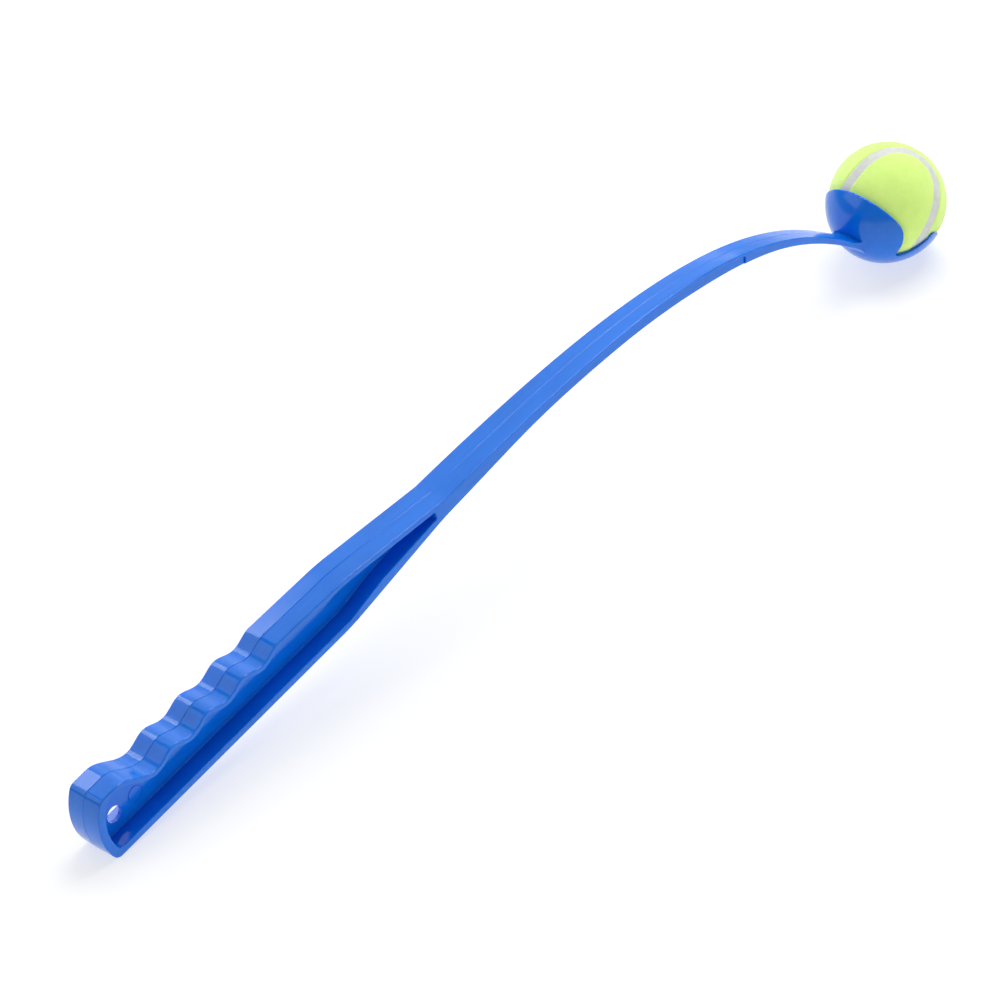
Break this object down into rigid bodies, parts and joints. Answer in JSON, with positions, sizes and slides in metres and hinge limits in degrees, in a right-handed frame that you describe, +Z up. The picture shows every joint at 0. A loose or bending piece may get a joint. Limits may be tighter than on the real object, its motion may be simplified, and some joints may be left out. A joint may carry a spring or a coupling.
{
  "type": "ball launcher",
  "caption": "Curved one-piece plastic throwing wand for dogs: ribbed-web grip with finger grooves, thin springy arm and a claw cup that holds a felt tennis ball",
  "frame": {"origin": "centre of the bounding box on the surface that the launcher stands on, with its butt and the bottom of its cup touching that surface", "axes": "+X from the butt of the grip towards the ball, +Z up, away from the surface and on the side where the finger grooves are, +Y across the wand"},
  "size_m": [0.631, 0.0634, 0.0799],
  "materials": {
    "plastic": "glossy blue polypropylene, moulded in one piece, with a fine parting line",
    "felt": "short brushed felt, optic yellow green",
    "seam_rubber": "matt light grey rubber cement line",
    "core_rubber": "dull dark moulded rubber"
  },
  "bodies": {
    "wand": {"wand": "plastic"},
    "ball": {"core_half_upper": "core_rubber", "core_half_lower": "core_rubber", "felt_panel_upper": "felt", "felt_panel_lower": "felt", "ball_seam": "seam_rubber"}
  },
  "joints": [
    {"name": "ball_release", "type": "slide", "parent": "wand", "child": "ball", "axis": [0.6449, 0, 0.7643], "range_m": [0, 0.06]}
  ]
}
